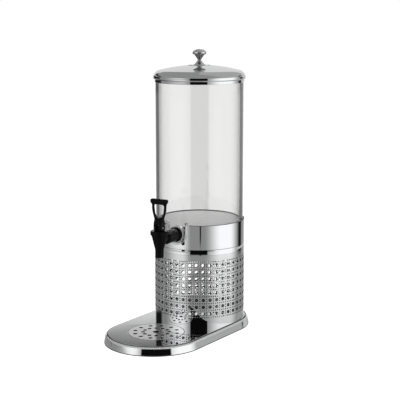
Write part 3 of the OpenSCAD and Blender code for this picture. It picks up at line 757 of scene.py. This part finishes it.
def build_notch_edging():
    """The edging round the notch, with a round bead at the top of each leg."""
    seat, seat_fillet, face_fillet = 0.06, 0.05, 1.4
    section = rounded([
        (-TRIM_IN, -COLLAR_SHEET, 0.4), (-LAP, -COLLAR_SHEET, 0.2), (-LAP, seat, seat_fillet),
        (TRIM_OUT, seat, seat_fillet), (TRIM_OUT, TRIM_T, face_fillet), (-TRIM_IN, TRIM_T, face_fillet)])
    rings = []
    for x, z, dx, dz in notch_path(NOTCH_R, TRIM_STEPS):
        angles = [math.asin((x + n * dx) / COLLAR_R) + TAP_TURN for n, _ in section]
        rings.append([on_collar(a, out, z + n * dz) for a, (n, out) in zip(angles, section)])
    mesh = swept("notch_edging", rings, False)
    even_shading(piece("notch_edging", mesh, "stand", "polished_steel", "notch_trim"))
    depth = (TRIM_T + COLLAR_SHEET) / 2
    outline = [(0, -depth)] + arc(BEAD_R - depth, 0, depth, depth, -90, 90, 12) + [(0, depth)]
    for name, side in (("notch_bead_left", -1), ("notch_bead_right", 1)):
        a = math.asin(side * BEAD_X / COLLAR_R) + TAP_TURN
        spot = on_collar(a, TRIM_T - depth, COLLAR_TOP + BEAD_R)
        bead = lathe(name, outline, spot, BEAD_STEPS, laid_along(a))
        piece(name, bead, "stand", "polished_steel", "notch_trim")


def build_lip():
    """A dark edging along the collar's rim, from one bead of the notch round to the other."""
    thick, hang, low_fillet, top_fillet = 0.7, 1.2, 0.2, 0.3
    inner = -COLLAR_SHEET - thick
    section = rounded([(inner, -hang, low_fillet), (-COLLAR_SHEET, -hang, low_fillet), (-COLLAR_SHEET, 0, 0),
                       (-LAP, 0, 0), (-LAP, thick, top_fillet), (inner, thick, top_fillet)])
    gap = math.asin((BEAD_X + BEAD_R) / COLLAR_R)
    angles = np.linspace(TAP_TURN + gap, TAP_TURN + 2 * math.pi - gap, ROUND_STEPS + 1)
    rings = [[on_collar(a, out, COLLAR_TOP + z) for out, z in section] for a in angles]
    piece("collar_lip", swept("collar_lip", rings, False), "stand", "black_rubber")


def build_deck():
    outline = band(FLANGE_IN, reach("collar_floor"), low("collar_floor").z, DECK_Z, 0.2)
    turned("collar_deck", outline, TOWER, "stand", "satin_steel", "collar_floor")


# Tank, lid and knob

TANK_R = 85.0
TANK_WALL = 6.0


def build_tank():
    """The tube with its boss for the tap, and its floor. Neither casts a shadow."""
    inner_r = TANK_R - TANK_WALL
    middle_r = inner_r + TANK_WALL / 2
    edge, boss_fillet, floor_fillet = 0.8, 0.4, 0.4
    boss_r, boss_step, boss_back, bore_r, washer_t = 16.4, 2.0, 76.5, 9.25, 1.5
    spare = 9.0
    boss_face = (middle("outer_washer") - TOWER).dot(TAP_FRONT) - washer_t / 2
    tube = lathe("tank", band(inner_r, TANK_R, TANK_LOW, TANK_TOP, edge), TOWER, FINE_STEPS)
    for r, start, end in ((boss_r, middle_r, boss_face), (boss_r - boss_step, boss_back, middle_r)):
        outline = rounded([(0, start, 0), (r, start, 0), (r, end, boss_fillet), (0, end, 0)])
        bar = lathe("bar", outline, TAP_AXIS, BORE_STEPS, laid_along(TAP_TURN))
        tube = combined("tank", tube, bar, "UNION")
    start, end = boss_back - spare, boss_face + spare
    outline = [(0, start), (bore_r, start), (bore_r, end), (0, end)]
    bore = lathe("bore", outline, TAP_AXIS, BORE_STEPS, laid_along(TAP_TURN))
    tube = combined("tank", tube, bore, "DIFFERENCE")
    tube.shade_smooth()
    tube.set_sharp_from_angle(angle=CREASE)
    true_tube_normals(tube, inner_r)
    tank = piece("tank", tube, "tank", "clear_tank", "tank_tube")
    floor_low, floor_top, floor_r = low("tank_floor").z, high("tank_floor").z, reach("tank_floor")
    outline = rounded([(0, floor_low, 0), (floor_r, floor_low, floor_fillet),
                       (floor_r, floor_top, floor_fillet), (0, floor_top, 0)])
    bottom = turned("tank_bottom", outline, TOWER, "tank", "clear_tank", "tank_floor")
    for made in (tank, bottom):
        made.visible_shadow = False


def true_tube_normals(mesh, inner_r):
    """Round normals on the tube's two walls, where cutting has left long uneven faces."""
    near = 0.02
    normals = [Vector(corner.vector) for corner in mesh.corner_normals]
    for face in mesh.polygons:
        spots = [Vector(mesh.vertices[i].co) / MM - TOWER for i in face.vertices]
        for spot in spots:
            spot.z = 0
        for wall_r, sign in ((TANK_R, 1), (inner_r, -1)):
            if all(abs(spot.length - wall_r) < near for spot in spots):
                for loop, spot in zip(face.loop_indices, spots):
                    normals[loop] = spot.normalized() * sign
    mesh.normals_split_custom_set(normals)


LID_SHEET = 1.0
LID_GAP = 0.5
LID_OVERHANG = 3.2
LID_ROUND = 16.0
LID_ROUND_ANGLES = (14, 80)
LID_NOSE_R = 2.5
LID_NOSE_DROP = 5.8
LID_DOME_R = 308.0
LID_DOME_STEPS = 24
LID_FLAT_R = 22.0
LID_STEP = 0.7


def dome_drop(r):
    return LID_DOME_R - math.sqrt(LID_DOME_R ** 2 - r * r)


def build_lid():
    skirt_low, lid_top = low("lid_shell").z, high("lid_shell").z
    skirt_in = TANK_R + LID_GAP
    skirt_out = skirt_in + LID_SHEET
    rim_r = skirt_out + LID_OVERHANG
    round_r, round_z = rim_r - LID_ROUND, TANK_TOP - 1.0
    dome_r = round_r + 1.2
    nose_low = round_z + LID_ROUND * math.sin(math.radians(LID_ROUND_ANGLES[0])) - LID_NOSE_DROP
    nose_in, hem = 0.5, 0.3
    step_in, step_round_r, step_round_z = 0.5, 0.4, 0.3

    def cap(depth):
        """The rounding, the dome and the middle, on the outside or at a depth below it."""
        size = LID_ROUND - depth
        curve = arc(round_r, round_z, size, size, *LID_ROUND_ANGLES, 22)
        for k in range(1, LID_DOME_STEPS + 1):
            r = dome_r + (LID_FLAT_R - dome_r) * k / LID_DOME_STEPS
            curve.append((r, lid_top + dome_drop(LID_FLAT_R) - dome_drop(r) - depth))
        top = lid_top - depth
        if not depth:
            top = lid_top + LID_STEP
            curve += arc(LID_FLAT_R - step_in, top - step_round_z, step_round_r, step_round_z, 0, 90, 4)
        return curve + [(LID_FLAT_R - 4, top), (0, top)]

    outline = [(skirt_in, skirt_low + hem), (skirt_in + hem, skirt_low), (skirt_out - hem, skirt_low),
               (skirt_out, skirt_low + hem), (skirt_out, nose_low)]
    outline += arc(rim_r - nose_in - LID_NOSE_R, nose_low + LID_NOSE_R, LID_NOSE_R, LID_NOSE_R, -90, -5, 8)
    outline += cap(0) + list(reversed(cap(LID_SHEET))) + [(skirt_in, TANK_TOP - 2)]
    even_shading(turned("lid", outline, TOWER, "lid", "polished_steel", "lid_shell", steps=FINE_STEPS))


def build_knob():
    bottom, top, cap_r = low("lid_knob").z, high("lid_knob").z, reach("lid_knob")
    height = top - bottom
    foot_r, flare_r, waist_r, neck_r = 11.3, 11.0, 3.3, 10.2
    flare_power, neck_power = 1.3, 1.1
    under_tilt = -0.15
    flare_z = bottom + LID_STEP + 0.5
    waist_z, neck_z, cap_z = (bottom + share * height for share in (0.33, 0.65, 0.76))
    shares = np.linspace(0, 1, 17)
    outline = [(0, bottom), (foot_r, bottom), (foot_r, bottom + LID_STEP)]
    outline += [(waist_r + (flare_r - waist_r) * (1 - t) ** flare_power, flare_z + (waist_z - flare_z) * t)
                for t in shares]
    outline += [(waist_r + (neck_r - waist_r) * t ** neck_power, waist_z + (neck_z - waist_z) * t)
                for t in shares[1:]]
    outline += arc(neck_r, cap_z, cap_r - neck_r, cap_z - neck_z, -80, 0, 10)
    outline += arc(0, cap_z, cap_r, top - cap_z, 0, 90, 24)[1:]
    knob = turned("knob", outline, TOWER, "lid", "polished_steel", "lid_knob", steps=SMALL_STEPS)
    # Painted shade: the knob's downward faces get the darker steel.
    refinish(knob, SHADE_PAINTED_STEEL, lambda face: face.normal.z < under_tilt)


# Tap

VOXEL = 0.4
WELD = 0.001


def soften(node, rounds):
    """Softened edges on a CAD node, as moulding leaves them."""
    made = frame["nodes"][node]
    weld = made.modifiers.new("weld", "WELD")
    weld.merge_threshold = WELD * MM
    remesh = made.modifiers.new("even", "REMESH")
    remesh.mode = "VOXEL"
    remesh.voxel_size = VOXEL * MM
    remesh.use_smooth_shade = True
    soft = made.modifiers.new("soft_edges", "SMOOTH")
    soft.factor = 0.5
    soft.iterations = rounds


def build_bonnet():
    top, radius, spigot_low = high("tap_bonnet").z, reach("tap_bonnet"), low("tap_bonnet").z
    spigot_h, spigot_r, stem_r, pocket_r, roof = 3.0, 9.75, 3.25, 8.2, 2.5
    foot_fillet, top_fillet, stem_fillet, spigot_fillet, pocket_fillet = 0.9, 1.6, 0.3, 0.2, 0.5
    body_top = spigot_low + spigot_h
    outline = rounded([
        (pocket_r, spigot_low, spigot_fillet), (spigot_r, spigot_low, spigot_fillet),
        (spigot_r, body_top, 0), (radius, body_top, foot_fillet), (radius, top, top_fillet),
        (stem_r, top, stem_fillet), (stem_r, top - roof, 0), (pocket_r, top - roof, pocket_fillet)])
    made = turned("bonnet", outline, SPOUT, "tank", "black_plastic", "tap_bonnet", steps=SMALL_STEPS)
    even_shading(made)


def build_spring():
    bottom, top, radius, wire = low("stem_spring").z, high("stem_spring").z, 6.0, 0.6
    turns, steps, sides = 5, 32, 10
    section = [(wire * math.cos(b), wire * math.sin(b)) for b in np.arange(sides) * 2 * math.pi / sides]
    rings = []
    for i in range(turns * steps + 1):
        out = sideways(2 * math.pi * i / steps)
        z = bottom + wire + (top - bottom - 2 * wire) * i / (turns * steps)
        rings.append([SPOUT + out * (radius + x) + up(z + y) for x, y in section])
    made = piece("spring", swept("spring", rings, False), "tank", "satin_steel", "stem_spring")
    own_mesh(made)


# Light, floor and camera

# Zones of the studio in degrees of turn or rise: where each starts, is full, fades and ends
LEFT_BOX = (-100, -52, -46, -20)
RIGHT_BOX = (10, 58, 84, 118)
LEFT_FLAG = (-165, -150, -120, -109)
LEFT_FLAG_GAP = (-15.8, -15.5, -4.8, -4.4)
RIGHT_FLAG = (110, 123, 130, 141)
RIGHT_FLAG_GAP = (-10.8, -9.2, -4.8, -4.4)
BOTH_FLAGS_GAP = (4, 8, 13, 14.5)
NARROW_TURN = (-24.2, -23, 19.5, 21)
NARROW_RISE = (-11, -10.4, 23, 27)
WIDE_TURN = (-30, -27, 36, 40)
WIDE_RISE = (2.5, 4, 7.5, 9)
SLIT_TURN = (0.2, 0.7, 4.0, 4.5)
SLIT_RISE = (-12.5, -12.2, -9, -8.5)

# Where one brightness starts to give way to another, and where it has done so
LEFT_MIDDLE_FROM = (-5.4, -4.7)
LEFT_TOP_FROM = (1, 4)
FAR_RIGHT_FROM = (106, 119)
RIGHT_FLAG_FROM = (-13.2, -12.4)
BACKDROP_FROM = (150, 172)
CEILING_FROM = (17, 23)
TUBE_FROM = (144, 150)
TUBE_MIDDLE_FROM = (155, 175)
TUBE_TOP_FROM = (6, 14)

# Brightness that changes between two angles: the angles and its two values
BOX_FOOT = (-19, -12.5, 0.5, 1)
LEFT_LOW = (-13.0, -12.4, 0.86, 1.0)
RIGHT_GLOW = (-13.0, -12.4, 0.98, 1.25)
FAR_RIGHT = (-11.2, -8, 0.38, 0.62)
BACKDROP = (15.2, 17.6, 0.92, 0.18)
CEILING = (30, 80, 0.32, 0.45)
TUBE_EDGE = (-1, 1, 0.42, 0.36)
TUBE_MIDDLE = (178.7, 179.1, 0.88, 0.74)

# Brightness of the rest
ROOM = 0.31
LEFT_MIDDLE = 0.62
LEFT_TOP = 1.16
FLAG = 0.01
DARK_ROOM = 0.004
DARK_SLIT = 0.03
TUBE_LEAST = 0.8
TUBE_TOP = 1.5
TUBE_WALL = 0.12
IN_PICTURE = 1.0


def build_world():
    """A studio: a pale backdrop, a soft box and a flag at each side, and the dark room behind the camera.

    Turn is the bearing from the camera's side, to the right in the picture, and rise the height, in
    degrees. Rays that come through the tank meet a surround of their own.
    """
    world = bpy.data.worlds.new("studio")
    bpy.context.scene.world = world
    world.use_nodes = True
    nodes = Nodes(world.node_tree)
    ray = nodes.add("TexCoord").outputs["Generated"]

    def component(direction):
        node = nodes.add("VectorMath", operation="DOT_PRODUCT")
        nodes.feed(node.inputs[0], ray)
        node.inputs[1].default_value = direction
        return node.outputs["Value"]

    def blend(share, first, second):
        node = nodes.add("Mix", data_type="FLOAT")
        for socket, value in zip((node.inputs[0], node.inputs[2], node.inputs[3]), (share, first, second)):
            nodes.feed(socket, value)
        return node.outputs[0]

    def times(first, second):
        return nodes.math("MULTIPLY", first, second)

    def past(value, start, full):
        """Nothing before start, one after full."""
        return nodes.ramp(value, start, full, 0, 1)

    def within(value, start, full, fading, end):
        """One between full and fading, nothing before start and after end."""
        return times(past(value, start, full), nodes.ramp(value, fading, end, 1, 0))

    front = component(bearing(VIEW_TURN))
    right = component(sideways(VIEW_TURN))
    degree = 180 / math.pi
    turn = times(nodes.math("ARCTAN2", right, front), degree)
    rise = times(nodes.math("ARCSINE", component((0, 0, 1))), degree)
    away = nodes.math("ABSOLUTE", turn)
    paths = nodes.add("LightPath")

    def outside(rises):
        return nodes.math("SUBTRACT", 1.0, within(rise, *rises))

    def patch(turns, rises):
        return times(within(turn, *turns), within(rise, *rises))

    box_foot = nodes.ramp(rise, *BOX_FOOT)
    left_box = times(within(turn, *LEFT_BOX), box_foot)
    right_box = times(within(turn, *RIGHT_BOX), box_foot)
    left_glow = blend(past(rise, *LEFT_MIDDLE_FROM), nodes.ramp(rise, *LEFT_LOW), LEFT_MIDDLE)
    left_glow = blend(past(rise, *LEFT_TOP_FROM), left_glow, LEFT_TOP)
    sides = blend(right_box, blend(left_box, ROOM, left_glow), nodes.ramp(rise, *RIGHT_GLOW))
    sides = blend(past(turn, *FAR_RIGHT_FROM), sides, nodes.ramp(rise, *FAR_RIGHT))
    left_flag = times(within(turn, *LEFT_FLAG), outside(LEFT_FLAG_GAP))
    right_flag = times(within(turn, *RIGHT_FLAG), outside(RIGHT_FLAG_GAP))
    right_flag = times(right_flag, past(rise, *RIGHT_FLAG_FROM))
    flags = times(nodes.math("ADD", right_flag, left_flag), outside(BOTH_FLAGS_GAP))
    sides = blend(flags, sides, FLAG)
    around = blend(past(away, *BACKDROP_FROM), sides, nodes.ramp(rise, *BACKDROP))
    around = blend(past(rise, *CEILING_FROM), around, nodes.ramp(turn, *CEILING))
    dark_room = nodes.math("MAXIMUM", patch(NARROW_TURN, NARROW_RISE), patch(WIDE_TURN, WIDE_RISE))
    around = blend(dark_room, around, DARK_ROOM)
    around = blend(patch(SLIT_TURN, SLIT_RISE), around, DARK_SLIT)

    edge = nodes.ramp(turn, *TUBE_EDGE)
    beyond = blend(past(away, *TUBE_MIDDLE_FROM), edge, nodes.ramp(away, *TUBE_MIDDLE))
    through = blend(past(away, *TUBE_FROM), nodes.math("MAXIMUM", around, TUBE_LEAST), beyond)
    through = blend(past(rise, *TUBE_TOP_FROM), through, TUBE_TOP)
    one_wall = nodes.math("LESS_THAN", paths.outputs["Transmission Depth"], 2.5)
    mirrored = nodes.math("GREATER_THAN", paths.outputs["Glossy Depth"], 0.5)
    through = blend(times(mirrored, one_wall), through, TUBE_WALL)
    seen = blend(paths.outputs["Is Transmission Ray"], around, through)
    seen = blend(paths.outputs["Is Camera Ray"], seen, IN_PICTURE)
    background = nodes.add("Background")
    nodes.feed(background.inputs["Strength"], seen)
    background.inputs["Color"].default_value = (1, 1, 1, 1)
    nodes.feed(nodes.add("OutputWorld").inputs["Surface"], background.outputs[0])


def flat_stage(name, corners, grey, glow):
    """A sheet of the studio that glows by itself and isn't seen through the tank."""
    mesh = bpy.data.meshes.new(name)
    mesh.from_pydata(corners, [], [range(len(corners))])
    made = bpy.data.objects.new(name, mesh)
    bpy.context.scene.collection.objects.link(made)
    mesh.materials.append(surface(name, (grey, grey, grey), paper, Emission_Color=(1, 1, 1, 1),
                                  Emission_Strength=glow, Specular_IOR_Level=0.0))
    made.visible_transmission = False
    return made


FLOOR_HALF_M = 30.0
FLOOR_GREY = 0.3
FLOOR_GLOW = 0.95
SHADE_INSET = 0.6
SHADE_LIFT = 0.05


def build_floor():
    """A pale floor that the steel doesn't mirror, and a black sheet under the base as painted shadow in the gap
    below it.
    """
    signs = ((-1, -1), (1, -1), (1, 1), (-1, 1))
    corners = [(x * FLOOR_HALF_M, y * FLOOR_HALF_M, 0) for x, y in signs]
    floor = flat_stage("floor", corners, FLOOR_GREY, FLOOR_GLOW)
    floor.visible_glossy = False
    # Painted shadow: a black sheet just above the floor under the base.
    shade = [Vector(spot) * MM for spot in stadium(BASE_R - SHADE_INSET, SHADE_LIFT)]
    flat_stage("contact_shade", shade, 0.0, 0.0)


CARD_BACK_M = 1.3
CARD_HALF_M = 0.75
CARD_HEIGHTS_M = (0.56, 1.27)
CARD_GLOW = 0.76


def build_card():
    """A white card behind the dispenser, which the lid mirrors and the base does not."""
    back = bearing(VIEW_TURN) * -CARD_BACK_M + TOWER * MM
    across = sideways(VIEW_TURN) * CARD_HALF_M
    bottom, top = (up(height) for height in CARD_HEIGHTS_M)
    corners = [back - across + bottom, back + across + bottom, back + across + top, back - across + top]
    card = flat_stage("card", corners, 0.0, CARD_GLOW)
    card.visible_camera = False
    card.visible_diffuse = False
    card.visible_shadow = False


LAMP_WATTS = 19.0
LAMP_SIZE_M = 0.7
LAMP_AWAY_M = 1.7
LAMP_AIM_M = 0.19
LAMP_RISE = math.radians(42)


def build_lamp():
    """A soft lamp above the camera, which lights dull faces and stays out of the mirrors."""
    lamp = bpy.data.objects.new("lamp", bpy.data.lights.new("lamp", "AREA"))
    bpy.context.scene.collection.objects.link(lamp)
    lamp.data.energy = LAMP_WATTS
    lamp.data.size = LAMP_SIZE_M
    out = bearing(VIEW_TURN) * math.cos(LAMP_RISE) + up(math.sin(LAMP_RISE))
    lamp.location = TOWER * MM + up(LAMP_AIM_M) + out * LAMP_AWAY_M
    lamp.rotation_euler = out.to_track_quat("Z", "Y").to_euler()
    lamp.visible_camera = False
    lamp.visible_glossy = False
    lamp.visible_transmission = False


CAMERA_SPOT_M = (1.20327, -1.72817, 0.63253)
CAMERA_TILT = math.radians(79.944)
CAMERA_PAN = math.radians(0.018)
CAMERA_LENS = 101.07
CAMERA_SENSOR = 36.0


def build_camera():
    camera = bpy.data.objects.new("camera", bpy.data.cameras.new("camera"))
    bpy.context.scene.collection.objects.link(camera)
    camera.location = CAMERA_SPOT_M
    camera.rotation_euler = (CAMERA_TILT, 0, VIEW_TURN + CAMERA_PAN)
    camera.data.lens = CAMERA_LENS
    camera.data.sensor_width = CAMERA_SENSOR
    bpy.context.scene.camera = camera
    bpy.context.scene.view_settings.view_transform = "Standard"


for part in frame["record"]["subparts"]:
    materials = frame["nodes"][part["node"]].data.materials
    materials.clear()
    materials.append(MATERIALS[part["material_slot"]])

build_base()
build_plate_shadow_line()
build_drip_plate()
build_drip_bowl()
build_tower()
build_shoulder()
build_collar()
build_notch_edging()
build_lip()
build_deck()
build_tank()
build_lid()
build_knob()
soften("tap_body", 8)
soften("tap_handle", 10)
build_bonnet()
build_spring()
build_world()
build_floor()
build_card()
build_lamp()
build_camera()
